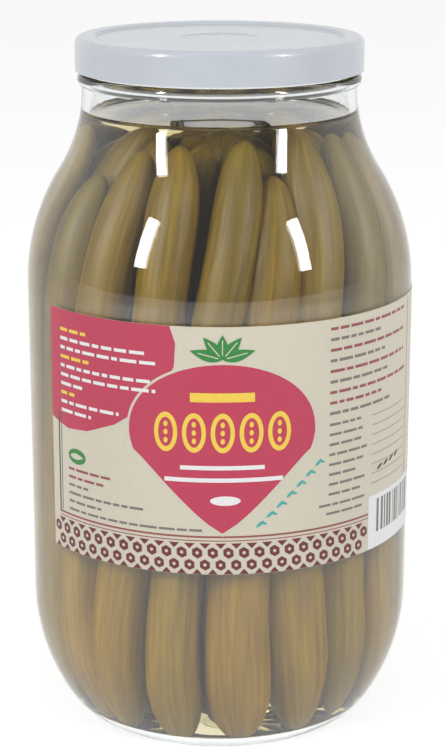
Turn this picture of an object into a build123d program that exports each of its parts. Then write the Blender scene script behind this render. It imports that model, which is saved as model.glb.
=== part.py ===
from build123d import *
import math
import os

# Pickle jar: a wide-mouth glass jar with a twist-off metal lid, filled with brine.
# Millimetres, +Z up. The origin is the middle of the base, and the label's front faces -Y.

# Glass jar
BODY_R = 70.0
WALL = 3.0
FOOT_R = 18.0            # small arc that turns the heel under the jar
HEEL_R = 72.0            # large arc of the heel
HEEL_Z = 48.0            # height at which the straight wall starts
STRAIGHT_HEIGHT = 116.5  # straight wall between the heel and the shoulder
SHOULDER_R = 76.0
NECK_BLEND_R = 55.0      # hollow arc from the shoulder into the neck
NECK_R = 49.0
FINISH_HEIGHT = 17.0     # from the start of the neck up to the sealing rim
FOOT_WIDTH = 8.0         # ring that the jar stands on
RECESS_DEPTH = 1.2       # step up from the ring to the raised bottom
RECESS_RUN = 2.0
PUSH_UP = 3.6            # height of the raised bottom at the axis
FLOOR_THICKNESS = 3.9    # glass at the axis
RIM_ROUND = 1.1
BEAD_PROUD = 1.7
BEAD_HEIGHT = 4.4
BEAD_GAP = 0.8           # between the lid's lower edge and the bead

# Twist-off lid
SHEET = 0.5              # coated sheet metal
THREAD_ROOM = 1.9        # between the lid's inside and the neck
LID_HEIGHT = 11.9
LID_CORNER_R = 2.4
PANEL_INSET = 2.0        # between the mouth and the sunk middle panel
PANEL_DROP = 0.9
BUTTON_R = 13.5          # the round button pressed into the panel
BUTTON_DROP = 0.35
CURL_R = 0.8             # the rolled edge at the lid's lower end

# Brine and label
HEADSPACE = 26.6         # from the rim down to the brine
LABEL_HEIGHT = 88.0
LABEL_MARGIN = 0.5       # between the label's top and the shoulder
LABEL_THICKNESS = 0.2
LABEL_LEFT = 57.0        # degrees round the jar from the front, to the left
LABEL_RIGHT = 125.0      # degrees round the jar from the front, to the right

# The heel and the shoulder are pairs of arcs that run smoothly into each other.
HEEL_TURN = math.degrees(math.asin((HEEL_Z - FOOT_R) / (HEEL_R - FOOT_R)))
FOOT_OUTER_R = BODY_R - HEEL_R + (HEEL_R - FOOT_R) * math.cos(math.radians(HEEL_TURN))
FOOT_INNER_R = FOOT_OUTER_R - FOOT_WIDTH
SHOULDER_Z = HEEL_Z + STRAIGHT_HEIGHT
SHOULDER_TURN = math.degrees(math.acos(1 - (BODY_R - NECK_R) / (SHOULDER_R + NECK_BLEND_R)))
NECK_Z = SHOULDER_Z + (SHOULDER_R + NECK_BLEND_R) * math.sin(math.radians(SHOULDER_TURN))
MOUTH_R = NECK_R - WALL
RIM_Z = NECK_Z + FINISH_HEIGHT
FLOOR_Z = PUSH_UP + FLOOR_THICKNESS

# The lid rests on the rim, and the bead, the brine and the label follow the jar.
LID_R = NECK_R + THREAD_ROOM + SHEET
LID_TOP = RIM_Z + SHEET
LID_BOTTOM = LID_TOP - LID_HEIGHT
PANEL_R = MOUTH_R - PANEL_INSET
BEAD_Z = LID_BOTTOM - BEAD_GAP - BEAD_HEIGHT / 2
BRINE_Z = RIM_Z - HEADSPACE
LABEL_TOP = SHOULDER_Z - LABEL_MARGIN
LABEL_BOTTOM = LABEL_TOP - LABEL_HEIGHT


def side_of_jar(inset):
    """Draw half a section of the jar's side, moved in from the outside by inset."""
    CenterArc((FOOT_OUTER_R, FOOT_R), FOOT_R - inset, -90, 90 - HEEL_TURN)
    CenterArc((BODY_R - HEEL_R, HEEL_Z), HEEL_R - inset, -HEEL_TURN, HEEL_TURN)
    Line((BODY_R - inset, HEEL_Z), (BODY_R - inset, SHOULDER_Z))
    CenterArc((BODY_R - SHOULDER_R, SHOULDER_Z), SHOULDER_R - inset, 0, SHOULDER_TURN)
    CenterArc((NECK_R + NECK_BLEND_R, NECK_Z), NECK_BLEND_R + inset, 180, SHOULDER_TURN)


def dome_to_axis(edge_r, edge_z, top_z):
    """Draw a shallow dome from its edge up to the axis."""
    rise = top_z - edge_z
    dome_r = (edge_r ** 2 + rise ** 2) / (2 * rise)
    half_angle = math.degrees(math.asin(edge_r / dome_r))
    CenterArc((0, top_z - dome_r), dome_r, 90 - half_angle, half_angle)


def inside_up_to(top_z):
    """Draw the closed half section of the jar's inside, from the floor to top_z."""
    dome_to_axis(FOOT_OUTER_R, WALL, FLOOR_Z)
    side_of_jar(WALL)
    Line((MOUTH_R, NECK_Z), (MOUTH_R, top_z))
    Line((MOUTH_R, top_z), (0, top_z))
    Line((0, top_z), (0, FLOOR_Z))


def lid_section(inset):
    """Draw half a section of the lid as a solid plug, moved in by inset from its outside."""
    radius = LID_R - inset
    top = LID_TOP - inset
    panel = top - PANEL_DROP
    button = panel - BUTTON_DROP
    corner = LID_CORNER_R - inset
    step_r = PANEL_R + PANEL_DROP
    button_edge = BUTTON_R + 2 * BUTTON_DROP
    Line((0, LID_BOTTOM), (radius, LID_BOTTOM))
    Line((radius, LID_BOTTOM), (radius, top - corner))
    CenterArc((radius - corner, top - corner), corner, 0, 90)
    Polyline((radius - corner, top), (step_r, top), (PANEL_R, panel), (button_edge, panel))
    Polyline((button_edge, panel), (BUTTON_R, button), (0, button), (0, LID_BOTTOM))


# The glass jar: a thick-walled shell with a raised bottom, a bead and a rounded rim.
with BuildPart() as glass_jar:
    with BuildSketch(Plane.XZ):
        with BuildLine():
            side_of_jar(0)
            Line((NECK_R, NECK_Z), (NECK_R, RIM_Z))
            Line((NECK_R, RIM_Z), (0, RIM_Z))
            Line((0, RIM_Z), (0, PUSH_UP))
            dome_to_axis(FOOT_INNER_R - RECESS_RUN, RECESS_DEPTH, PUSH_UP)
            Line((FOOT_INNER_R - RECESS_RUN, RECESS_DEPTH), (FOOT_INNER_R, 0))
            Line((FOOT_INNER_R, 0), (FOOT_OUTER_R, 0))
        make_face()
        with BuildLine():
            inside_up_to(RIM_Z)
        make_face(mode=Mode.SUBTRACT)
    revolve(axis=Axis.Z)
    with BuildSketch(Plane.XZ):
        with Locations((NECK_R, BEAD_Z)):
            Ellipse(BEAD_PROUD, BEAD_HEIGHT / 2)
        with Locations((NECK_R - WALL / 2, BEAD_Z)):
            outside_the_wall = (Align.MIN, Align.CENTER)
            Rectangle(2 * WALL, BEAD_HEIGHT, align=outside_the_wall, mode=Mode.INTERSECT)
    revolve(axis=Axis.Z)
    rim_edges = glass_jar.edges().filter_by(GeomType.CIRCLE).group_by(Axis.Z)[-1]
    fillet(rim_edges, radius=RIM_ROUND)

# The lid: a sheet-metal cap with a rounded shoulder, a sunk panel and a rolled lower edge.
with BuildPart() as lid:
    with BuildSketch(Plane.XZ):
        with BuildLine():
            lid_section(0)
        make_face()
        with BuildLine():
            lid_section(SHEET)
        make_face(mode=Mode.SUBTRACT)
        with Locations((LID_R - CURL_R, LID_BOTTOM + CURL_R)):
            Circle(CURL_R)
    revolve(axis=Axis.Z)

# The brine: it fills the jar's inside up to the level that shows through the glass.
with BuildPart() as brine:
    with BuildSketch(Plane.XZ):
        with BuildLine():
            inside_up_to(RIM_Z)
        make_face()
        with Locations((0, BRINE_Z)):
            Rectangle(4 * BODY_R, RIM_Z, align=(Align.CENTER, Align.MIN), mode=Mode.SUBTRACT)
    revolve(axis=Axis.Z)

# The paper label, wrapped round the straight part of the wall.
with BuildPart() as label:
    with BuildSketch(Plane.XY.offset(LABEL_BOTTOM)):
        with BuildLine():
            start_angle = -90 - LABEL_LEFT
            wrap = LABEL_LEFT + LABEL_RIGHT
            outer_arc = CenterArc((0, 0), BODY_R + LABEL_THICKNESS, start_angle, wrap)
            inner_arc = CenterArc((0, 0), BODY_R, start_angle, wrap)
            Line(outer_arc @ 0, inner_arc @ 0)
            Line(outer_arc @ 1, inner_arc @ 1)
        make_face()
    extrude(amount=LABEL_TOP - LABEL_BOTTOM)

glass_jar.part.label = "glass_jar"
lid.part.label = "lid"
brine.part.label = "brine"
label.part.label = "label"

os.makedirs("parts", exist_ok=True)
export_step(glass_jar.part, "parts/glass_jar.step")
export_step(lid.part, "parts/lid.step")
export_step(brine.part, "parts/brine.step")
export_step(label.part, "parts/label.step")

MM3_PER_LITRE = 1e6
print("brine up to its level:", round(brine.part.volume / MM3_PER_LITRE, 3), "litres")
print("glass:", round(glass_jar.part.volume / MM3_PER_LITRE, 4), "litres")
print("lid top at", round(LID_TOP, 2), "and lid bottom at", round(LID_BOTTOM, 2))
print("foot ring from", round(FOOT_INNER_R, 2), "to", round(FOOT_OUTER_R, 2), "and neck from", round(NECK_Z, 2))
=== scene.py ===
# %% [markdown]
# # A glass jar of pickled cucumbers
# A tall wide-mouth jar stands on a white studio floor. It is clear glass with a white
# twist-off lid, filled with yellow-green brine and long cucumbers, and a printed paper
# label goes round it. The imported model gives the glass, the lid, the label paper and the
# brine at their true size. This lesson adds the finishes, the cucumbers and the print.

# %% Load the frame
import math
import random

import bmesh
import bpy
import numpy as np
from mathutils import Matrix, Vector


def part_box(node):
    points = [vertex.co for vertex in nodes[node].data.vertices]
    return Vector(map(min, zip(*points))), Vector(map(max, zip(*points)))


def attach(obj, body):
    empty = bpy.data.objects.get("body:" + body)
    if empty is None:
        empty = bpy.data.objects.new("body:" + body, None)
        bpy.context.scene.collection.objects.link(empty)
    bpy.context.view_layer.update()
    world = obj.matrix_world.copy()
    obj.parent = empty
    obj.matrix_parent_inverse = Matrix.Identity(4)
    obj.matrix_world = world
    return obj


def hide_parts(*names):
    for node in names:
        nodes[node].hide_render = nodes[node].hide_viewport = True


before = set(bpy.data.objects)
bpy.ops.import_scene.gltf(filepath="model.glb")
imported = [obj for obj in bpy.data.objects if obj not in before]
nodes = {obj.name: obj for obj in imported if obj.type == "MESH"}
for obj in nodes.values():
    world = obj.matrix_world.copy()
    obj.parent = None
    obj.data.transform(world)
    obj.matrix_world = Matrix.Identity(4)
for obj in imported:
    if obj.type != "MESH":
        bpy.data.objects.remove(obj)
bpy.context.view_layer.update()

# %% [markdown]
# ## Sizes
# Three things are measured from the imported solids: the level of the brine, the wall that
# the label lies on, and the inside of the glass at each height. They could be typed in
# again, but then a taller or wider jar would leave the cucumbers and the print behind.

# %% Read the sizes
MM = 0.001
brine_low, brine_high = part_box("brine")
label_low, label_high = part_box("label")
BRINE_Z = brine_high.z
LABEL_R = -label_low.y


def wall_profile(node_name):
    """Height and radius of the outermost points of a turned solid, from its own mesh."""
    points = {}
    for vertex in nodes[node_name].data.vertices:
        height = round(vertex.co.z, 4)
        radius = math.hypot(vertex.co.x, vertex.co.y)
        points[height] = max(points.get(height, 0.0), radius)
    heights = sorted(points)
    return np.array(heights), np.array([points[height] for height in heights])


room_z, room_r = wall_profile("brine")


def room_at(height):
    """Inside radius of the glass at a height, or at an array of heights."""
    return np.interp(height, room_z, room_r)


print("brine level", round(BRINE_Z, 4), "label radius", round(LABEL_R, 4))

# %% [markdown]
# ## Camera
# The jar is seen from a little above, from three quarters of a metre away. A long lens
# keeps its sides nearly upright, as a product picture does. A short lens close by would
# swell the middle of the jar.

# %% Camera
CAMERA_DISTANCE = 0.738
CAMERA_HEIGHT = 0.3345
CAMERA_TILT = 15.67
LENS = 167.2
SENSOR = 36.0
SIDE_SHIFT = 0.0067
camera_data = bpy.data.cameras.new("camera")
camera_data.sensor_fit = "HORIZONTAL"
camera_data.sensor_width = SENSOR
camera_data.lens = LENS
camera_data.shift_x = SIDE_SHIFT
camera = bpy.data.objects.new("camera", camera_data)
camera.location = (0.0, -CAMERA_DISTANCE, CAMERA_HEIGHT)
camera.rotation_euler = (math.radians(90 - CAMERA_TILT), 0.0, 0.0)
bpy.context.scene.collection.objects.link(camera)
bpy.context.scene.camera = camera
print("camera at", tuple(camera.location), "with a lens of", LENS, "mm")

# %% [markdown]
# ## Node helpers
# A finish is a small network of nodes. It could be set up link by link each time. These
# helpers add a node, set its sockets and link it, so that each finish below reads as a
# short recipe, and the room's light can use the same words.

# %% Node helpers
WHITE = (1.0, 1.0, 1.0, 1.0)


class Finish:
    """The nodes of a material or of the world, built up one by one."""

    def __init__(self, owner, output_kind="ShaderNodeOutputMaterial"):
        owner.use_nodes = True
        self.owner = owner
        self.tree = owner.node_tree
        self.tree.nodes.clear()
        self.output = self.add(output_kind)

    def add(self, kind, values=None, **settings):
        """Add a node, with socket values by name and settings of the node itself."""
        node = self.tree.nodes.new(kind)
        for key, value in settings.items():
            setattr(node, key, value)
        for key, value in (values or {}).items():
            node.inputs[key].default_value = value
        return node

    def link(self, source, target):
        """Join an output to an input."""
        self.tree.links.new(source, target)

    def noise(self, place, scale, detail=3.0, roughness=0.5):
        """Soft random patches of one size."""
        values = {"Scale": scale, "Detail": detail, "Roughness": roughness}
        node = self.add("ShaderNodeTexNoise", values)
        self.link(place, node.inputs["Vector"])
        return node.outputs["Fac"]

    def ramp(self, source, stops):
        """Turn a value into colours, from a list of (position, colour)."""
        node = self.add("ShaderNodeValToRGB")
        elements = node.color_ramp.elements
        while len(elements) < len(stops):
            elements.new(0.5)
        for element, (position, colour) in zip(elements, stops):
            element.position = position
            element.color = (*colour, 1.0)
        self.link(source, node.inputs["Fac"])
        return node.outputs["Color"]

    def bump(self, source, strength, distance):
        """Tilt the surface by a height pattern."""
        node = self.add("ShaderNodeBump", {"Strength": strength, "Distance": distance})
        self.link(source, node.inputs["Height"])
        return node.outputs["Normal"]

    def body_place(self, stretch=(1.0, 1.0, 1.0)):
        """The place in the piece's own metres, stretched along its axes."""
        mapping = self.add("ShaderNodeMapping", {"Scale": stretch})
        self.link(self.add("ShaderNodeTexCoord").outputs["Object"], mapping.inputs["Vector"])
        return mapping.outputs["Vector"]


def new_finish(name):
    """An empty finish for a piece."""
    return Finish(bpy.data.materials.new(name))


def dress(piece, finish):
    """Give a piece one finish."""
    piece.data.materials.clear()
    piece.data.materials.append(finish.owner)
    print(piece.name, "has the finish", finish.owner.name)


# %% [markdown]
# ## Rays that should see white
# The floor and the room look white behind the jar and through it. Stronger light would
# do that too, but it would bleach the jar. Light Path tells the rays that only look from
# those that light things, so the backdrop can be white without lighting the jar more.

# %% Looking rays


def looking_rays(finish):
    """1 for rays that come from the camera, from a mirror image or through glass."""
    path = finish.add("ShaderNodeLightPath")
    total = path.outputs["Is Camera Ray"]
    for name in ("Is Glossy Ray", "Is Transmission Ray"):
        larger = finish.add("ShaderNodeMath", operation="MAXIMUM")
        finish.link(total, larger.inputs[0])
        finish.link(path.outputs[name], larger.inputs[1])
        total = larger.outputs[0]
    return total


print("looking rays: camera, mirror image and through glass")

# %% [markdown]
# ## Floor
# The jar stands on a wide sheet of pale matt paper. A pure glow would be white but would
# lose the jar's shadow. So the paper is matt, and glows a little to the rays that look.

# %% Floor
FLOOR_HALF = 4.0
FLOOR_DROP = 0.2 * MM
FLOOR_GREY = 0.62
FLOOR_GLOW = 0.62
FLOOR_CORNERS = ((-1, -1), (1, -1), (1, 1), (-1, 1))
floor_points = [(x * FLOOR_HALF, y * FLOOR_HALF, -FLOOR_DROP) for x, y in FLOOR_CORNERS]
floor_mesh = bpy.data.meshes.new("floor")
floor_mesh.from_pydata(floor_points, [], [(0, 1, 2, 3)])
floor = bpy.data.objects.new("floor", floor_mesh)
bpy.context.scene.collection.objects.link(floor)
sheet_finish = new_finish("white_floor")
matt = sheet_finish.add("ShaderNodeBsdfDiffuse", {"Color": (FLOOR_GREY, FLOOR_GREY, FLOOR_GREY, 1.0)})
glow = sheet_finish.add("ShaderNodeEmission", {"Color": WHITE})
glow_level = sheet_finish.add("ShaderNodeMath", operation="MULTIPLY")
glow_level.inputs[1].default_value = FLOOR_GLOW
sheet_finish.link(looking_rays(sheet_finish), glow_level.inputs[0])
sheet_finish.link(glow_level.outputs[0], glow.inputs["Strength"])
both = sheet_finish.add("ShaderNodeAddShader")
sheet_finish.link(matt.outputs[0], both.inputs[0])
sheet_finish.link(glow.outputs[0], both.inputs[1])
sheet_finish.link(both.outputs[0], sheet_finish.output.inputs["Surface"])
dress(floor, sheet_finish)

# %% [markdown]
# ## Room
# The room is an even white light, dimmer overhead than underfoot, so that the lid's top
# doesn't outshine its side. Rays that look see full white, with one exception. A mirror
# image of the side that the camera stands on is dim, as in a real studio, or the front
# of the glass would be veiled with white.

# %% Room light
ROOM_LEVEL = 0.62
OVERHEAD_SHARE = 0.72
UNDERFOOT_SHARE = 1.2
MIRROR_DIM = 0.3
MIRROR_DIM_UP_TO = -0.6
MIRROR_WHITE_FROM = 0.2
world = bpy.data.worlds.new("studio")
bpy.context.scene.world = world
room = Finish(world, "ShaderNodeOutputWorld")
lighting = room.add("ShaderNodeBackground", {"Color": WHITE, "Strength": ROOM_LEVEL})
backdrop = room.add("ShaderNodeBackground", {"Color": WHITE, "Strength": 1.0})
direction = room.add("ShaderNodeSeparateXYZ")
room.link(room.add("ShaderNodeTexCoord").outputs["Generated"], direction.inputs[0])
overhead = room.add("ShaderNodeMapRange", {"From Min": -1.0, "From Max": 1.0,
                                           "To Min": UNDERFOOT_SHARE * ROOM_LEVEL,
                                           "To Max": OVERHEAD_SHARE * ROOM_LEVEL})
room.link(direction.outputs["Z"], overhead.inputs["Value"])
room.link(overhead.outputs["Result"], lighting.inputs["Strength"])
camera_side = room.add("ShaderNodeMapRange", {"From Min": MIRROR_DIM_UP_TO, "From Max": MIRROR_WHITE_FROM,
                                              "To Min": MIRROR_DIM, "To Max": 1.0})
room.link(direction.outputs["Y"], camera_side.inputs["Value"])
mirror_level = room.add("ShaderNodeMix", data_type="FLOAT")
mirror_level.inputs[2].default_value = 1.0
room.link(room.add("ShaderNodeLightPath").outputs["Is Glossy Ray"], mirror_level.inputs[0])
room.link(camera_side.outputs["Result"], mirror_level.inputs[3])
room.link(mirror_level.outputs[0], backdrop.inputs["Strength"])
choice = room.add("ShaderNodeMixShader")
room.link(looking_rays(room), choice.inputs[0])
room.link(lighting.outputs[0], choice.inputs[1])
room.link(backdrop.outputs[0], choice.inputs[2])
room.link(choice.outputs[0], room.output.inputs["Surface"])
print("room level", ROOM_LEVEL)

# %% [markdown]
# ## Lamps
# Two tall soft boxes stand in front, one on each side. They give the tall glints on the
# shoulder that show where the glass is. One broad lamp would light the jar as well, but
# it would leave a single wide patch. Light that crosses glass bends many times, so the
# number of bounces is raised.

# %% Lamps
JAR_MIDDLE = Vector((0.0, 0.0, 0.13))
BOX_SIZE = (0.16, 0.6)


def soft_box(name, place, power):
    """A tall rectangular lamp that faces the middle of the jar."""
    lamp = bpy.data.lights.new(name, "AREA")
    lamp.shape = "RECTANGLE"
    lamp.size, lamp.size_y = BOX_SIZE
    lamp.energy = power
    box = bpy.data.objects.new(name, lamp)
    box.location = place
    box.rotation_euler = (JAR_MIDDLE - box.location).to_track_quat("-Z", "Y").to_euler()
    bpy.context.scene.collection.objects.link(box)
    print(name, "of", power, "W at", place)


soft_box("left_box", (-0.95, -0.85, 0.75), 9.0)
soft_box("right_box", (1.0, -0.8, 0.7), 8.0)
scene = bpy.context.scene
scene.view_settings.view_transform = "Standard"
scene.cycles.max_bounces = 24
scene.cycles.transmission_bounces = 20
scene.cycles.transparent_max_bounces = 16

# %% [markdown]
# ## Glass
# Jar glass is soda-lime glass with a faint green cast that only shows where it is thick,
# as at the rim and the foot. A green base colour would tint every wall alike. Absorption
# inside the wall makes thick glass greener by itself. Moulded glass is never quite even,
# so its surface gets a slow ripple. Lamps can't shine through bending glass directly, so
# to shadow rays the skin is open, and what is inside gets its light.

# %% Glass finish
OPEN_SKIN = (0.9, 0.9, 0.9, 1.0)


def let_light_in(finish, surface):
    """Let the lamps shine straight through a clear skin, so what is inside is lit."""
    path = finish.add("ShaderNodeLightPath")
    open_skin = finish.add("ShaderNodeBsdfTransparent", {"Color": OPEN_SKIN})
    mix = finish.add("ShaderNodeMixShader")
    finish.link(path.outputs["Is Shadow Ray"], mix.inputs[0])
    finish.link(surface.outputs[0], mix.inputs[1])
    finish.link(open_skin.outputs[0], mix.inputs[2])
    finish.link(mix.outputs[0], finish.output.inputs["Surface"])


glass = new_finish("clear_glass")
shell = glass.add("ShaderNodeBsdfPrincipled", {
    "Base Color": WHITE, "Roughness": 0.0, "IOR": 1.5, "Transmission Weight": 1.0})
ripple = glass.noise(glass.body_place((1.0, 1.0, 0.6)), 28.0, 1.5)
glass.link(glass.bump(ripple, 0.25, 0.0012), shell.inputs["Normal"])
tint = glass.add("ShaderNodeVolumeAbsorption", {"Color": (0.55, 0.80, 0.70, 1.0), "Density": 14.0})
glass.link(tint.outputs[0], glass.output.inputs["Volume"])
let_light_in(glass, shell)
dress(nodes["glass_jar"], glass)

# %% [markdown]
# ## Lid
# The lid is thin steel with a white lacquer. An even white would look like plastic. The
# lacquer has a very fine orange-peel texture, and faint scuffs that change its colour
# and gloss a little, under a thin clear coat.

# %% Lid finish
lacquer = new_finish("white_lacquer")
coat = lacquer.add("ShaderNodeBsdfPrincipled", {
    "IOR": 1.5, "Coat Weight": 0.35, "Coat Roughness": 0.08})
lid_place = lacquer.body_place()
scuffs = lacquer.noise(lid_place, 60.0, 4.0)
scuff_colour = lacquer.ramp(scuffs, [(0.3, (0.49, 0.525, 0.57)), (0.7, (0.52, 0.555, 0.60))])
scuff_gloss = lacquer.ramp(scuffs, [(0.3, (0.26, 0.26, 0.26)), (0.7, (0.34, 0.34, 0.34))])
lacquer.link(scuff_colour, coat.inputs["Base Color"])
lacquer.link(scuff_gloss, coat.inputs["Roughness"])
peel = lacquer.noise(lid_place, 1800.0, 2.0)
lacquer.link(lacquer.bump(peel, 0.12, 0.0001), coat.inputs["Normal"])
lacquer.link(coat.outputs[0], lacquer.output.inputs["Surface"])
dress(nodes["lid"], lacquer)

# %% [markdown]
# ## Turning a shape
# The brine has the round shape of the jar that holds it. It could be carved out of a
# cylinder, but a turned shape is simpler: one outline, swept round the axis.

# %% Sweep an outline round the axis
TURN_STEPS = 160
ON_AXIS = 1e-7


def turned(name, outline, steps=TURN_STEPS):
    """Sweep an outline of (radius, height), from axis to axis, round the jar's axis."""
    vertices, faces, rings = [], [], []
    for radius, height in outline:
        first = len(vertices)
        if radius < ON_AXIS:
            vertices.append((0.0, 0.0, height))
        else:
            for step in range(steps):
                angle = 2 * math.pi * step / steps
                vertices.append((radius * math.cos(angle), radius * math.sin(angle), height))
        rings.append(list(range(first, len(vertices))))
    for low, high in zip(rings, rings[1:]):
        for step in range(steps):
            after = (step + 1) % steps
            if len(low) == 1:
                faces.append((low[0], high[after], high[step]))
            elif len(high) == 1:
                faces.append((low[step], low[after], high[0]))
            else:
                faces.append((low[step], low[after], high[after], high[step]))
    mesh = bpy.data.meshes.new(name)
    mesh.from_pydata(vertices, [], faces)
    mesh.shade_smooth()
    piece = bpy.data.objects.new(name, mesh)
    bpy.context.scene.collection.objects.link(piece)
    print(name, "has", len(faces), "faces")
    return piece


# %% [markdown]
# ## Brine
# The brine fills the glass from wall to wall. If it only touched the glass, a thin film
# of air would show between them as a silver skin. So it reaches a little into the wall.
# At the wall its surface climbs in a small meniscus, which is a curve that dies away
# inwards, and the bottom follows the raised floor of the jar.

# %% Brine outline
INTO_WALL = 0.15 * MM
EDGE_DROP = 0.1 * MM
HEEL_ZONE_Z = 10 * MM
FLOOR_ZONE_R = 45 * MM
FLOOR_STEPS = 10
SIDE_STEPS = 120
MENISCUS_RISE = 1.3 * MM
MENISCUS_REACH = 3.0 * MM
MENISCUS_STEPS = 8
MENISCUS_FADE = 4.0
floor_edge_z = brine_low.z
floor_dome = [vertex.co for vertex in nodes["brine"].data.vertices
              if math.hypot(vertex.co.x, vertex.co.y) < FLOOR_ZONE_R and vertex.co.z < HEEL_ZONE_Z]
floor_top_z = max(point.z for point in floor_dome)
floor_edge_r = max(math.hypot(point.x, point.y) for point in floor_dome
                   if point.z < floor_edge_z + 0.1 * MM)
outline = []
for step in range(FLOOR_STEPS):
    share = step / FLOOR_STEPS
    drop = (floor_top_z - floor_edge_z) * share ** 2
    outline.append((floor_edge_r * share, floor_top_z - drop - INTO_WALL))
side_shares = np.linspace(0.0, 1.0, SIDE_STEPS) ** 1.5
for height in floor_edge_z + (BRINE_Z - EDGE_DROP - floor_edge_z) * side_shares:
    sink = INTO_WALL if height < HEEL_ZONE_Z else 0.0
    outline.append((float(room_at(height)) + INTO_WALL, float(height) - sink))
edge_r = float(room_at(BRINE_Z))
for step in range(MENISCUS_STEPS + 1):
    inward = MENISCUS_REACH * step / MENISCUS_STEPS
    rise = MENISCUS_RISE * math.exp(-MENISCUS_FADE * inward / MENISCUS_REACH)
    reach = edge_r - inward + (INTO_WALL if step == 0 else 0.0)
    outline.append((reach, BRINE_Z + rise))
outline.append((edge_r * 0.6, BRINE_Z))
outline.append((0.0, BRINE_Z))
brine = turned("brine_fill", outline)
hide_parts("brine")
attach(brine, "root")
print("brine outline points:", len(outline))

# %% [markdown]
# ## Brine finish
# Brine is water, salt, vinegar and what the cucumbers gave off, so it is clear and
# yellow-green. It bends light like water. As in the glass, the colour comes from
# absorption, so it deepens towards the middle of the jar. A very slow sway breaks the
# perfect surface.

# %% Brine finish
liquid = new_finish("brine_liquid")
clear = liquid.add("ShaderNodeBsdfPrincipled", {
    "Base Color": WHITE, "Roughness": 0.0, "IOR": 1.34,
    "Transmission Weight": 1.0, "Specular IOR Level": 0.2})
soak = liquid.add("ShaderNodeVolumeAbsorption", {"Color": (0.84, 0.70, 0.22, 1.0), "Density": 14.0})
sway = liquid.noise(liquid.body_place(), 40.0, 1.0)
liquid.link(liquid.bump(sway, 0.1, 0.0003), clear.inputs["Normal"])
let_light_in(liquid, clear)
liquid.link(soak.outputs[0], liquid.output.inputs["Volume"])
dress(brine, liquid)

# %% [markdown]
# ## The line of a cucumber
# A cucumber in a full jar is bent by the wall that it leans on. Its line could be drawn
# as a curve by hand. Here it is worked out from the inside of the glass: it keeps half a
# thickness from the wall, smoothed over a short stretch, because a cucumber is too
# stiff to follow each bend. Four angles say how it turns round the jar as it rises.

# %% Line of a cucumber
ALONG = 84
WALL_SMOOTHING = 14 * MM
SMOOTHING_STEPS = 7
LOWEST_WALL_Z = 12 * MM
WALL_CLEARANCE = 0.6 * MM
WANDER = 0.4 * MM
NEAREST_AXIS = 2.0 * MM


def turn_along(shares, angles):
    """Angle round the jar along a cucumber: a cubic through four evenly spread angles."""
    knots = np.linspace(0.0, 1.0, len(angles))
    return np.radians(np.polyval(np.polyfit(knots, angles, 3), shares))


def unit(vectors):
    """Vectors of the same direction and of length 1."""
    return vectors / np.linalg.norm(vectors, axis=1)[:, None]


def cucumber_line(shares, low, high, angles, inset, half_thickness, dice):
    """Points of the middle line, with the outward and the sideways direction at each."""
    heights = low + (high - low) * shares
    turn = turn_along(shares, angles)
    offsets = np.linspace(-WALL_SMOOTHING, WALL_SMOOTHING, SMOOTHING_STEPS)
    nearby = [room_at(np.clip(heights + offset, LOWEST_WALL_Z, BRINE_Z)) for offset in offsets]
    wander = WANDER * np.sin(shares * dice.uniform(3.0, 6.0) + dice.uniform(0.0, 6.0))
    reach = np.mean(nearby, axis=0) - inset - half_thickness - WALL_CLEARANCE + wander
    reach = np.maximum(reach, NEAREST_AXIS)
    line = np.stack([reach * np.sin(turn), -reach * np.cos(turn), heights], axis=1)
    tangent = unit(np.gradient(line, axis=0))
    outward = np.stack([np.sin(turn), -np.cos(turn), np.zeros_like(turn)], axis=1)
    outward = unit(outward - tangent * np.sum(outward * tangent, axis=1)[:, None])
    return line, outward, np.cross(tangent, outward)


print("points along a cucumber:", ALONG)

# %% [markdown]
# ## The body of a cucumber
# Each one is a bent tube that is thinner towards its upper end and rounded at both ends.
# It carries faint lengthwise ridges and a few low bumps, and it isn't quite round.
# Sculpting would do this too, but a formula gives every cucumber its own shape. The
# rings lie closer at the ends, where the shape curves most.

# %% Body of a cucumber
AROUND = 28
RIDGES = 9
RIDGE_HEIGHT = 0.006
OUT_OF_ROUND = 0.03
BUMP_HEIGHT = 0.008
UPPER_TAPER = 0.16
SWELL = 0.025


def end_rounding(share, length_share, bluntness):
    """How full the body is near an end: 0 at the tip, 1 past the rounded part."""
    inside = np.clip(share / length_share, 0.0, 1.0)
    return (1.0 - (1.0 - inside) ** 2) ** bluntness


def fullness(shares, dice):
    """Half the thickness along a cucumber, as a share of its widest."""
    top_share = dice.uniform(0.11, 0.16)
    low_share = dice.uniform(0.12, 0.18)
    body = end_rounding(shares, low_share, dice.uniform(0.46, 0.58))
    body = body * end_rounding(1.0 - shares, top_share, dice.uniform(0.46, 0.54))
    swell = 1.0 + SWELL * np.sin(9.0 * shares + dice.uniform(0.0, 6.0))
    return body * (1.0 - UPPER_TAPER * shares) * swell


def relief(angle, share, phase, skew):
    """How far the skin stands out at a place, as a share of the radius there."""
    ridge = RIDGE_HEIGHT * math.cos(RIDGES * angle + phase)
    oval_body = OUT_OF_ROUND * math.cos(2 * angle + skew)
    bump = BUMP_HEIGHT * math.sin(5 * angle + 21 * share + skew) * math.sin(33 * share + phase)
    return 1.0 + ridge + oval_body + bump


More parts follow.
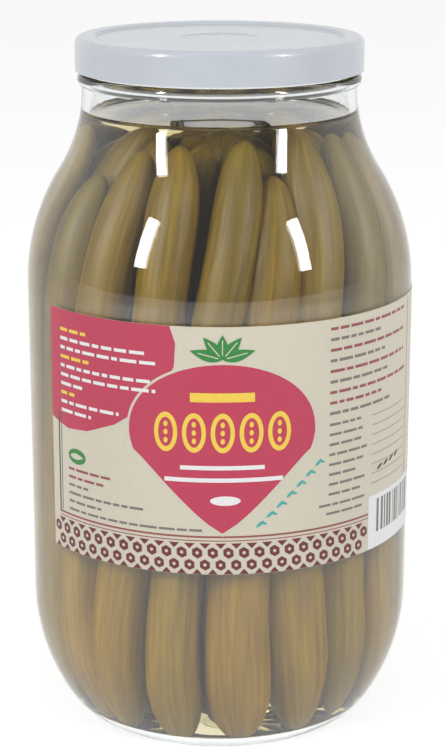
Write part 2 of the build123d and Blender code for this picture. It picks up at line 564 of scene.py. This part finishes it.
def cucumber(low, high, angles, inset, half_thickness, dice):
    """Vertices, faces and the (round, along) place of each vertex of one cucumber."""
    shares = (1.0 - np.cos(np.linspace(0.0, math.pi, ALONG))) / 2.0
    line, outward, across = cucumber_line(shares, low, high, angles, inset, half_thickness, dice)
    body = half_thickness * fullness(shares, dice)
    phase = dice.uniform(0.0, 6.0)
    skew = dice.uniform(0.0, 6.0)
    vertices, faces, places = [], [], []
    for ring, share in enumerate(shares):
        for step in range(AROUND):
            angle = 2 * math.pi * step / AROUND
            radius = body[ring] * relief(angle, share, phase, skew)
            spoke = math.cos(angle) * outward[ring] + math.sin(angle) * across[ring]
            vertices.append(line[ring] + radius * spoke)
            places.append((step / AROUND, share))
    for here in range(0, AROUND * (ALONG - 1), AROUND):
        there = here + AROUND
        for step in range(AROUND):
            after = (step + 1) % AROUND
            faces.append((here + step, here + after, there + after, there + step))
    return vertices, faces, places


print("triangles in a cucumber:", 2 * AROUND * (ALONG - 1))

# %% [markdown]
# ## Packing the jar
# Cucumbers stand side by side, pressed together, which is why the outer ones lean. A
# drop with rigid bodies would take minutes and come out different at each change. So
# the front ones are given one by one. The numbers are the angles round the jar at the lower
# tip, low on the body, high on the body and at the upper tip, then the heights of both
# tips, and half the thickness. The back and the inner rings follow with small chances.
# The rings hold more than fits without touching, so that no gap shows. Many neighbours
# run into each other, and the three in the middle share about half of their volume.

# %% Places in the jar
front_row = [
    ((-70.0, -66.0, -62.0, -58.0), 12.0, 205.0, 10.2),
    ((-50.0, -53.0, -45.0, -37.0), 9.0, 216.0, 10.4),
    ((-40.0, -33.0, -22.0, -19.0), 7.0, 219.0, 10.4),
    ((-16.0, -14.0, -3.0, 12.0), 6.0, 221.0, 9.8),
    ((9.0, 6.5, 13.0, 24.0), 7.0, 208.0, 11.0),
    ((34.0, 26.0, 31.0, 42.0), 8.0, 221.0, 10.8),
    ((52.0, 45.0, 52.0, 62.0), 11.0, 220.0, 10.0),
    ((72.0, 66.0, 72.0, 80.0), 12.0, 218.0, 10.2),
]
BACK_FROM = 88.0
BACK_TO = 272.0
BACK_COUNT = 10
INNER_RINGS = ((13, 18.5, 8.0), (8, 35.5, 20.0), (3, 52.0, 0.0))
dice = random.Random(7)
rows = [(angles, low, high, 0.0, half) for angles, low, high, half in front_row]
for index in range(BACK_COUNT):
    middle = BACK_FROM + (BACK_TO - BACK_FROM) * index / (BACK_COUNT - 1)
    lean = dice.uniform(-6.0, 6.0)
    angles = (middle - lean, middle, middle + dice.uniform(-2.0, 2.0), middle + lean)
    low, high = dice.uniform(7.0, 12.0), dice.uniform(214.0, 223.0)
    rows.append((angles, low, high, 0.0, dice.uniform(9.6, 10.6)))
for count, inset, start in INNER_RINGS:
    for index in range(count):
        middle = start + 360.0 * index / count
        lean = dice.uniform(-8.0, 8.0)
        angles = (middle - lean, middle, middle, middle + lean)
        low, high = dice.uniform(10.0, 16.0), dice.uniform(214.0, 223.5)
        rows.append((angles, low, high, inset, dice.uniform(9.4, 10.4)))
print("cucumbers:", len(rows))

# %% [markdown]
# ## One mesh for all cucumbers
# Forty-two objects would be slow to handle, and they share one finish, so they become
# one joined mesh. Three values go with each vertex for the finish: the tone of its
# cucumber, how far along it lies, and a place that is wrapped round the cucumber, so
# that streaks run lengthwise without a seam.

# %% Joined cucumbers
STREAK_LENGTH = 1.2
TONE_STEP = 7.0
vertices, faces, shares, tones, strand_places = [], [], [], [], []
for angles, low, high, inset, half in rows:
    body_v, body_f, places = cucumber(low * MM, high * MM, angles, inset * MM, half * MM, dice)
    start = len(vertices)
    tone = dice.random()
    vertices.extend(tuple(vertex) for vertex in body_v)
    faces.extend(tuple(corner + start for corner in face) for face in body_f)
    tones.extend([tone] * len(body_v))
    for turn, share in places:
        angle = 2 * math.pi * turn
        shares.append(share)
        strand_places.extend((math.cos(angle), math.sin(angle), share * STREAK_LENGTH + TONE_STEP * tone))
mesh = bpy.data.meshes.new("cucumbers")
mesh.from_pydata(vertices, [], faces)
mesh.shade_smooth()
mesh.attributes.new("tone", "FLOAT", "POINT").data.foreach_set("value", tones)
mesh.attributes.new("strand", "FLOAT_VECTOR", "POINT").data.foreach_set("vector", strand_places)
mesh.attributes.new("share", "FLOAT", "POINT").data.foreach_set("value", shares)
cucumbers = bpy.data.objects.new("cucumbers", mesh)
bpy.context.scene.collection.objects.link(cucumbers)
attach(cucumbers, "root")
print("triangles of all cucumbers:", 2 * len(faces))

# %% [markdown]
# ## Cucumber skin
# Pickled skin is olive, a mix of yellow-green and brown, in fine streaks that run along
# the fruit. Each cucumber has its own tone, and all are lighter and yellower towards the
# lower end. One noise pattern on the whole body would look like marble. So the streaks
# are read at the wrapped place, and the other colours are multiplied on top. The skin
# is wet, with a soft gloss and fine pores.

# %% Skin finish
skin = new_finish("pickle_skin")
wet = skin.add("ShaderNodeBsdfPrincipled", {"Roughness": 0.42, "IOR": 1.4, "Subsurface Weight": 0.0})
strand_place = skin.add("ShaderNodeAttribute", attribute_name="strand").outputs["Vector"]
tone_value = skin.add("ShaderNodeAttribute", attribute_name="tone").outputs["Fac"]
share_value = skin.add("ShaderNodeAttribute", attribute_name="share").outputs["Fac"]
streaks = skin.noise(strand_place, 5.0, 4.0, 0.6)
pores = skin.noise(strand_place, 16.0, 3.0, 0.6)
streak_colour = skin.ramp(streaks, [
    (0.30, (0.098, 0.061, 0.004)), (0.50, (0.145, 0.093, 0.006)), (0.72, (0.205, 0.134, 0.011))])
pore_colour = skin.ramp(pores, [(0.35, (0.86, 0.84, 0.76)), (0.65, (1.08, 1.07, 1.02))])
tone_colour = skin.ramp(tone_value, [
    (0.0, (0.82, 0.86, 0.70)), (0.5, (1.0, 0.98, 0.85)), (1.0, (1.18, 1.08, 0.95))])
end_colour = skin.ramp(share_value, [
    (0.0, (1.7, 1.6, 1.2)), (0.35, (1.35, 1.3, 1.0)), (0.88, (0.96, 0.98, 0.95)), (1.0, (1.05, 1.12, 1.0))])
mixed = streak_colour
for layer in (pore_colour, tone_colour, end_colour):
    multiply = skin.add("ShaderNodeMix", {"Factor": 1.0}, data_type="RGBA", blend_type="MULTIPLY")
    skin.link(mixed, multiply.inputs[6])
    skin.link(layer, multiply.inputs[7])
    mixed = multiply.outputs[2]
skin.link(mixed, wet.inputs["Base Color"])
skin.link(skin.bump(pores, 0.25, 0.0004), wet.inputs["Normal"])
skin.link(wet.outputs[0], skin.output.inputs["Surface"])
dress(cucumbers, skin)

# %% [markdown]
# ## Label paper
# The label is cream coated paper with a soft sheen. One flat colour would look like
# plastic film, so the paper gets a faint fibre mottle. The inks lie on the same paper
# and share its mottle, so one recipe serves both.

# %% Paper and ink finishes
CREAM = (0.640, 0.595, 0.485)
FIBRE_SHADE = 0.955


def paper(name, colour, roughness=0.5):
    """Coated paper or ink on it: an even colour with a faint mottle and a soft sheen."""
    finish = new_finish(name)
    sheet = finish.add("ShaderNodeBsdfPrincipled", {"IOR": 1.45, "Roughness": roughness})
    fibres = finish.noise(finish.body_place(), 900.0, 3.0)
    darker = tuple(channel * FIBRE_SHADE for channel in colour)
    finish.link(finish.ramp(fibres, [(0.35, darker), (0.65, colour)]), sheet.inputs["Base Color"])
    finish.link(finish.bump(fibres, 0.15, 0.00005), sheet.inputs["Normal"])
    finish.link(sheet.outputs[0], finish.output.inputs["Surface"])
    return finish


dress(nodes["label"], paper("cream_paper", CREAM))

# %% [markdown]
# ## Drawing the print
# The print is drawn flat, in millimetres: across is the distance round the jar from the
# middle of the front, and up is the height above the base. An image of the label could
# be laid on the paper instead, but it would blur from near by. Drawn shapes stay sharp.
# Each shape belongs to one ink and one layer, and higher layers lie on lower ones.

# %% Flat shapes
LEAF_STEPS = 12
LEAF_BELLY = 0.8
inks = {}


def draw(ink, outline, layer=1):
    """Add a flat shape, a list of (across, up) in millimetres, to one ink."""
    inks.setdefault((ink, layer), []).append(outline)


def placed(points, across, up, tilt):
    """Turn flat points by tilt degrees and move them to a place on the label."""
    lean = math.radians(tilt)
    return [(across + x * math.cos(lean) - y * math.sin(lean),
             up + x * math.sin(lean) + y * math.cos(lean)) for x, y in points]


def oval(across, up, width, height, points=36, tilt=0.0):
    """An ellipse, or a polygon where points is small."""
    angles = [2 * math.pi * step / points for step in range(points)]
    ring = [(width / 2 * math.cos(angle), height / 2 * math.sin(angle)) for angle in angles]
    return placed(ring, across, up, tilt)


def bar(left, up, width, height, tilt=0.0):
    """A bar that starts at its left end, centred on up."""
    half = height / 2
    return placed([(0, -half), (width, -half), (width, half), (0, half)], left, up, tilt)


def leaf(across, up, length, width, tilt):
    """A pointed leaf that grows from a point."""
    shares = [step / LEAF_STEPS for step in range(LEAF_STEPS + 1)]
    edge = [(length * share, width / 2 * math.sin(math.pi * share ** LEAF_BELLY)) for share in shares]
    back = [(x, -y) for x, y in edge[-2:0:-1]]
    return placed(edge + back, across, up, tilt)


print("shapes: oval, bar and leaf")

# %% [markdown]
# ## The two pink fields
# The design is a generic one in the usual colours of such a label. The middle field is
# a broad drop with a round top and a pointed foot, edged in cream. A second field, the
# panel, fills the upper left corner with a sweeping lower edge. Only the few points that
# the panel's edge needs are given. The drop comes from an arc and two mirrored curves.

# %% Pink fields
LABEL_BOTTOM = label_low.z / MM
LABEL_TOP = label_high.z / MM
label_turns = [math.atan2(vertex.co.x, -vertex.co.y) for vertex in nodes["label"].data.vertices]
left_end = min(label_turns) * LABEL_R / MM
right_end = max(label_turns) * LABEL_R / MM
print("label runs from", round(left_end, 1), "to", round(right_end, 1), "mm round the wall")
MIDDLE = 1.0
DROP_UP = 127.0
DROP_HALF_WIDTH = 33.0
DROP_CROWN = 24.0
DROP_TURN = math.radians(18.0)
DROP_SKIRT = 28.5
DROP_FOOT = 36.0
CREAM_EDGE = 0.9
ARC_STEPS = 48
SKIRT_STEPS = 10


def drop_field(grow=0.0):
    """The middle field, grown all round by grow millimetres."""
    half, crown = DROP_HALF_WIDTH + grow, DROP_CROWN + grow
    shape = []
    for step in range(ARC_STEPS + 1):
        angle = (math.pi + 2 * DROP_TURN) * step / ARC_STEPS - DROP_TURN
        shape.append((MIDDLE + half * math.cos(angle), DROP_UP + crown * math.sin(angle)))
    skirt = []
    for step in range(1, SKIRT_STEPS):
        share = step / SKIRT_STEPS
        out = half * math.cos(DROP_TURN) * (1 - share) ** 0.8
        down = crown * math.sin(DROP_TURN) + (DROP_SKIRT + grow) * share ** 1.15
        skirt.append((out, DROP_UP - down))
    shape.extend((MIDDLE - out, up) for out, up in skirt)
    shape.append((MIDDLE, DROP_UP - DROP_FOOT - grow * 1.3))
    shape.extend((MIDDLE + out, up) for out, up in reversed(skirt))
    return shape


panel = [(left_end, LABEL_TOP), (-17.0, LABEL_TOP), (-15.0, 158.0), (-15.5, 150.0), (-20.0, 141.0),
         (-28.0, 133.5), (-38.0, 127.0), (-50.0, 122.5), (-60.0, 121.5), (left_end, 124.0)]
draw("pink", panel, 1)
draw("cream", drop_field(CREAM_EDGE), 2)
draw("pink", drop_field(), 3)

# %% [markdown]
# ## The sprig
# Five pointed leaves fan out above the drop, the outer ones longest, each with a thin
# cream rib. One leaf function, turned to five tilts, draws them all.

# %% Leaf sprig
SPRIG_UP = 152.8
LEAF_WIDTH = 4.0
RIB_START = 1.5
RIB_SHARE = 0.62
RIB_WIDTH = 0.35
LEAVES = ((90, 8.5), (50, 10.0), (130, 10.0), (15, 11.5), (165, 11.5))
for tilt, length in LEAVES:
    lean = math.radians(tilt)
    rib_left = MIDDLE + RIB_START * math.cos(lean)
    rib_up = SPRIG_UP + RIB_START * math.sin(lean)
    draw("green", leaf(MIDDLE, SPRIG_UP, length, LEAF_WIDTH, tilt), 4)
    draw("cream", bar(rib_left, rib_up, length * RIB_SHARE, RIB_WIDTH, tilt), 5)
print("leaves:", len(LEAVES))

# %% [markdown]
# ## Slices and bars on the drop
# Where a label like this has its title, five cut slices stand in a row: a yellow rim, a
# pink inside and three seeds each. A yellow bar above and white bars below take the
# place of smaller lines. They are plain shapes, so they say nothing.

# %% Slices and bars
SLICE_COUNT = 5
SLICE_FIRST = -18.5
SLICE_PITCH = 9.8
SEED_PITCH = 2.9
for index in range(SLICE_COUNT):
    centre = SLICE_FIRST + SLICE_PITCH * index
    draw("yellow", oval(centre, DROP_UP, 8.2, 14.0), 4)
    draw("pink", oval(centre, DROP_UP, 5.2, 10.4), 5)
    for seed in (-1, 0, 1):
        draw("yellow", oval(centre, DROP_UP + seed * SEED_PITCH, 1.5, 2.0, 14), 6)
draw("yellow", bar(-10.0, 139.5, 22.0, 3.2), 4)
draw("white", bar(-13.5, 114.6, 29.0, 1.5), 4)
draw("white", bar(-19.0, 110.2, 41.0, 1.5), 4)
draw("white", oval(2.0, 102.8, 10.5, 3.4), 4)
print("slices:", SLICE_COUNT)

# %% [markdown]
# ## Small print
# From a step away, small print is a grey texture of short strokes with gaps. Real
# letters would be too fine to read and would name things. So each line is a row of
# short bars of uneven length. A seeded chance sets the lengths, which keeps them the
# same in each run.

# %% Rows on the pink panel
BAR_THINNESS = 0.62
WORD_GAP = 0.55
SHORTEST_BAR = 2.2
LONGEST_BAR = 6.5
line_dice = random.Random(11)


def words(ink, left, right, up, height, layer):
    """A line of short bars between left and right."""
    across = left
    while across < right - 1.0:
        width = min(line_dice.uniform(SHORTEST_BAR, LONGEST_BAR), right - across)
        draw(ink, bar(across, up, width, height * BAR_THINNESS), layer)
        across += width + height * WORD_GAP


PANEL_ROWS = (("yellow", -50.0), ("white", -26.0), ("white", -22.0), ("yellow", -48.0),
              ("white", -24.0), ("white", -22.0), ("white", -52.0), ("yellow", -56.0),
              ("white", -36.0), ("white", -48.0))
for row, (ink, right) in enumerate(PANEL_ROWS):
    words(ink, -63.5, right, 157.0 - 3.25 * row, 1.9, 4)
print("rows on the panel:", len(PANEL_ROWS))

# %% [markdown]
# ## Small print on the cream
# Two columns of small lines stand on the cream paper, the left one under a small green
# mark, the right one above a ruled table. A teal flourish runs up between them. They
# use the same rows of bars, in dark red and grey, and ovals for the flourish.

# %% Columns and flourish
LEFT_ROWS = (("wine", -40.0), ("wine", -43.0), ("grey", -50.0), ("grey", -27.0), ("grey", -44.0))
RIGHT_ROWS = (("wine", 84.0), ("grey", 66.0), ("wine", 84.0), ("grey", 68.0), ("wine", 84.0),
              ("grey", 70.0), ("wine", 86.0), ("wine", 66.0), ("grey", 72.0))
TABLE_ROWS = 8
FLOURISH_STEPS = 7
draw("green", oval(-55.5, 112.0, 9.0, 5.6), 1)
draw("cream", leaf(-59.0, 112.0, 7.0, 2.2, 0.0), 2)
for row, (ink, right) in enumerate(LEFT_ROWS):
    words(ink, -60.0, right, 107.0 - 3.0 * row, 1.5, 1)
words("grey", -60.0, -6.0, 92.0, 1.4, 1)
for row, (ink, right) in enumerate(RIGHT_ROWS):
    words(ink, 40.0, right, 160.5 - 3.75 * row, 1.7, 1)
for row in range(TABLE_ROWS):
    up = 126.5 - 3.6 * row
    words("grey", 40.0, 50.0 + line_dice.uniform(0.0, 8.0), up, 1.5, 1)
    draw("grey", bar(61.0, up - 0.5, 26.0, 0.22), 1)
for row in range(2):
    words("grey", 36.0 + 3.0 * row, 57.0, 97.5 - 3.2 * row, 1.4, 1)
for step in range(FLOURISH_STEPS):
    draw("teal", oval(14.0 + 3.6 * step, 94.0 + 3.3 * step, 3.4, 1.1, 16, 42.0), 1)
    draw("teal", oval(15.4 + 3.6 * step, 94.2 + 3.3 * step, 2.4, 0.9, 16, -20.0), 1)
for step in range(4):
    draw("dark", oval(66.0 + 4.2 * step, 106.0 + 0.5 * step, 3.6, 1.2, 16, 25.0), 1)
print("rows on the cream:", len(LEFT_ROWS) + len(RIGHT_ROWS) + TABLE_ROWS + 3)

# %% [markdown]
# ## Ruled lines and border
# Double rules frame the left column, and a lattice of dark red six-sided flowers runs
# along the bottom, in two rows that are set half a step apart. Small triangles fill in
# above and below. The whole band is one motif, repeated along the label.

# %% Rules and lattice
PATCH_LEFT = 59.5
PITCH = 5.4
HALF_MOTIF = 2.3
UPPER_ROW = 83.9
LOWER_ROW = 79.5
draw("wine", bar(left_end + 4.0, 89.7, PATCH_LEFT - left_end - 4.0, 0.7), 1)
draw("wine", bar(left_end + 4.6, 88.3, PATCH_LEFT - left_end - 4.6, 0.35), 1)
draw("dark", bar(left_end + 4.0, 108.0, 0.7, 37.0), 1)
draw("dark", bar(left_end + 5.6, 108.6, 0.35, 36.0), 1)
draw("grey", bar(89.3, 130.0, 0.5, 66.0), 1)


def flower(across, up, height):
    """A six-sided dark flower with a cream eye, where it clears the patch."""
    if across + HALF_MOTIF < PATCH_LEFT:
        draw("maroon", oval(across, up, 3.9, height, 6, 30.0), 1)
        draw("cream", oval(across, up, 1.2, 1.2, 10), 2)


motif_count = int((PATCH_LEFT - left_end) / PITCH) + 1
for index in range(motif_count):
    upper = left_end + PITCH * (index + 0.5)
    lower = upper + PITCH / 2
    flower(upper, UPPER_ROW, 4.4)
    flower(lower, LOWER_ROW, 4.2)
    if lower < PATCH_LEFT:
        foot = LABEL_BOTTOM + 0.1
        draw("maroon", [(lower - 1.9, 87.4), (lower, 85.4), (lower + 1.9, 87.4)], 1)
        draw("maroon", [(upper - 1.7, foot), (upper + 1.7, foot), (upper, 78.0)], 1)
print("motifs along the border:", motif_count)

# %% [markdown]
# ## The plain patch
# At the lower right lies a white patch with upright grey stripes. A chance sets their
# widths, so that they are a pattern and carry no code.

# %% Patch and stripes
PATCH_WIDTH = 40.0
PATCH_HEIGHT = 20.0
STRIPES_FROM = 5.0
STRIPES_TO = 34.0
draw("white", bar(PATCH_LEFT, 86.1, PATCH_WIDTH, PATCH_HEIGHT), 2)
stripe_at = PATCH_LEFT + STRIPES_FROM
while stripe_at < PATCH_LEFT + STRIPES_TO:
    width = line_dice.choice((0.5, 0.9, 1.4))
    draw("grey", bar(stripe_at, 88.0, width, 12.5), 3)
    stripe_at += width + line_dice.choice((0.6, 0.9, 1.5))
print("last stripe ends at", round(stripe_at, 1), "mm")

# %% [markdown]
# ## Laying the print on the wall
# The flat shapes now go round the jar. Wrapped as they are, long shapes would cut
# straight through the curved wall. So each is first cut into narrow upright strips, and
# then every point moves to its place on the wall. Each layer lies a hair above the one
# below it, and a thin film of ink gives it an edge.

# %% Wrap the shapes
STRIP = 2.0
FILM = 0.02
LAYER_LIFT = 0.03
WALL_R = LABEL_R / MM


def on_wall(across, up, lift):
    """The place on the label's wall of a flat point, in metres."""
    angle = across / WALL_R
    radius = WALL_R + lift
    return (radius * math.sin(angle) * MM, -radius * math.cos(angle) * MM, up * MM)


def film(name, shapes, lift):
    """Cut flat shapes into strips, wrap them round the wall and give them thickness."""
    mesh = bpy.data.meshes.new(name)
    work = bmesh.new()
    for shape in shapes:
        work.faces.new([work.verts.new((x, y, 0.0)) for x, y in shape])
    work.normal_update()
    for face in work.faces:
        if face.normal.z < 0:
            face.normal_flip()
    bmesh.ops.triangulate(work, faces=work.faces[:])
    left = min(vertex.co.x for vertex in work.verts)
    right = max(vertex.co.x for vertex in work.verts)
    cut = STRIP * math.ceil(left / STRIP)
    while cut < right:
        parts = work.verts[:] + work.edges[:] + work.faces[:]
        bmesh.ops.bisect_plane(work, geom=parts, dist=1e-5, plane_co=(cut, 0, 0), plane_no=(1, 0, 0))
        cut += STRIP
    for vertex in work.verts:
        vertex.co = on_wall(vertex.co.x, vertex.co.y, lift)
    bmesh.ops.remove_doubles(work, verts=work.verts[:], dist=1e-7)
    work.to_mesh(mesh)
    work.free()
    piece = bpy.data.objects.new(name, mesh)
    bpy.context.scene.collection.objects.link(piece)
    thicken = piece.modifiers.new("film", "SOLIDIFY")
    thicken.thickness = FILM * MM
    thicken.offset = 1.0
    return piece


print("strips of", STRIP, "mm, films of", FILM, "mm")

# %% [markdown]
# ## Inks
# Label inks are glossier than the paper that they lie on, and their colours are deep
# and slightly warm. Each ink is the paper recipe with its own colour. All shapes of one
# ink and layer become one piece.

# %% Ink finishes and films
INK_ROUGHNESS = 0.42
INK_COLOURS = {
    "pink": (0.500, 0.050, 0.098), "cream": CREAM, "white": (0.80, 0.80, 0.80),
    "yellow": (0.860, 0.600, 0.085), "green": (0.035, 0.230, 0.050), "wine": (0.300, 0.085, 0.085),
    "maroon": (0.150, 0.032, 0.036), "grey": (0.200, 0.185, 0.170), "dark": (0.070, 0.050, 0.045),
    "teal": (0.060, 0.400, 0.360)}
ink_finishes = {}
for name, colour in INK_COLOURS.items():
    ink_finishes[name] = paper("ink_" + name, colour, INK_ROUGHNESS)
for (ink, layer), shapes in sorted(inks.items()):
    piece = film("print_" + ink + "_" + str(layer), shapes, LAYER_LIFT * layer)
    dress(piece, ink_finishes[ink])
    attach(piece, "root")
    print(piece.name, len(shapes), "shapes")
